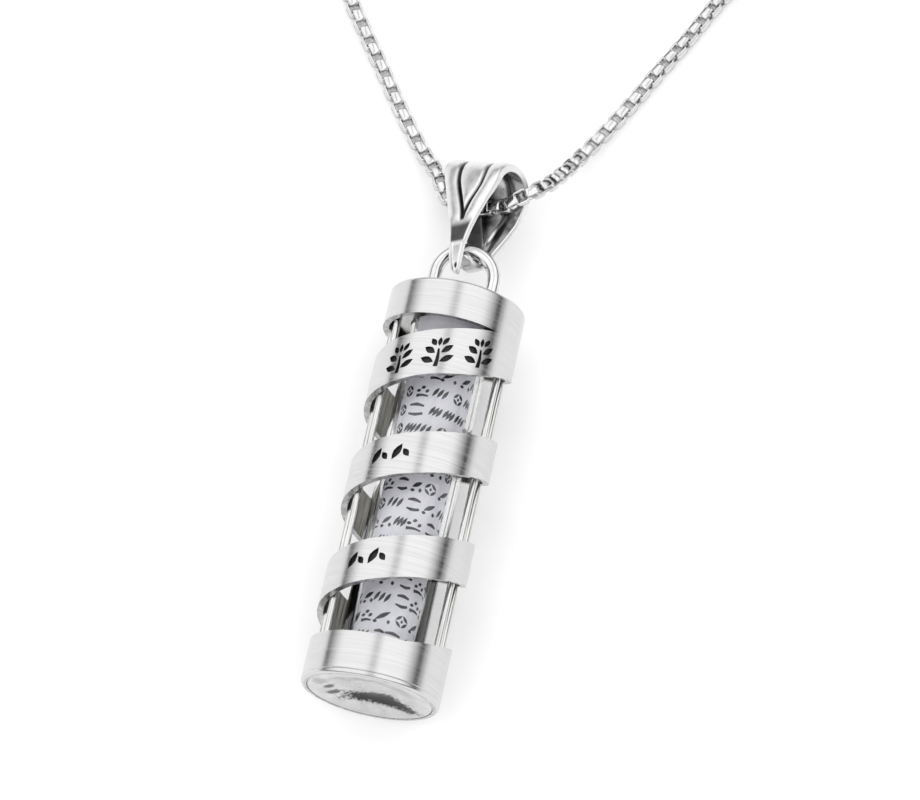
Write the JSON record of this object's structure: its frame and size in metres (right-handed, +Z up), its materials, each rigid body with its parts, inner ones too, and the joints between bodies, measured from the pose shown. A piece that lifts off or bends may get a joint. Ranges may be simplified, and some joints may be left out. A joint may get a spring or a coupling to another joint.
{
  "type": "mezuzah case",
  "caption": "Pendant case: a spiral-cut silver tube around a glass vial with a rolled parchment, on a fluted bail and a fine box chain with a spring ring clasp.",
  "frame": {"origin": "on the table plane, under the middle of the case and bail", "axes": "the pendant lies on its side: +Y along the case from its closed end to the bail, +Z up from the table, X across"},
  "size_m": [0.0356, 0.0906, 0.01],
  "materials": {
    "silver_satin": "sterling silver, fine satin brushing around the tube, bright edges",
    "silver_polished": "polished sterling silver, darkened in the grooves",
    "silver_wire": "drawn sterling silver wire",
    "silver_chain": "polished sterling silver box links",
    "clear_glass": "clear glass tube, fire-polished",
    "parchment": "off-white rolled sheet with dark ink marks",
    "spring_steel": "bright spring wire"
  },
  "bodies": {
    "chain_and_bail": {"bail": "silver_polished", "chain_left": "silver_chain", "chain_right": "silver_chain", "chain_tail": "silver_chain", "chain_coil": "silver_chain", "end_cap_left": "silver_polished", "end_cap_right": "silver_polished", "clasp_ring": "silver_polished", "clasp_spring": "spring_steel", "catch_ring": "silver_polished"},
    "case": {"spiral_shell": "silver_satin", "top_plate": "silver_satin", "hanging_loop": "silver_polished", "strut_1": "silver_wire", "strut_2": "silver_wire", "strut_3": "silver_wire", "strut_4": "silver_wire", "upper_seat": "silver_satin"},
    "vial_plug": {"end_plug": "silver_polished", "lower_seat": "silver_satin", "glass_vial": "clear_glass", "scroll": "parchment"},
    "clasp_latch": {"clasp_bolt": "silver_polished"}
  },
  "joints": [
    {"name": "case_swing", "type": "hinge", "parent": "chain_and_bail", "child": "case", "pos_m": [0, 0.0112, 0.005], "axis": [0, 0, 1], "range_deg": [-60, 60]},
    {"name": "vial_plug_slide", "type": "slide", "parent": "case", "child": "vial_plug", "axis": [0, -1, 0], "range_m": [0, 0.03]},
    {"name": "clasp_bolt_slide", "type": "hinge", "parent": "chain_and_bail", "child": "clasp_latch", "pos_m": [-0.0155, 0.05132, 0.0008], "axis": [0, 0, 1], "range_deg": [0, 30], "stiffness_Nm_per_rad": 0.0007, "springref_deg": -11.46}
  ]
}
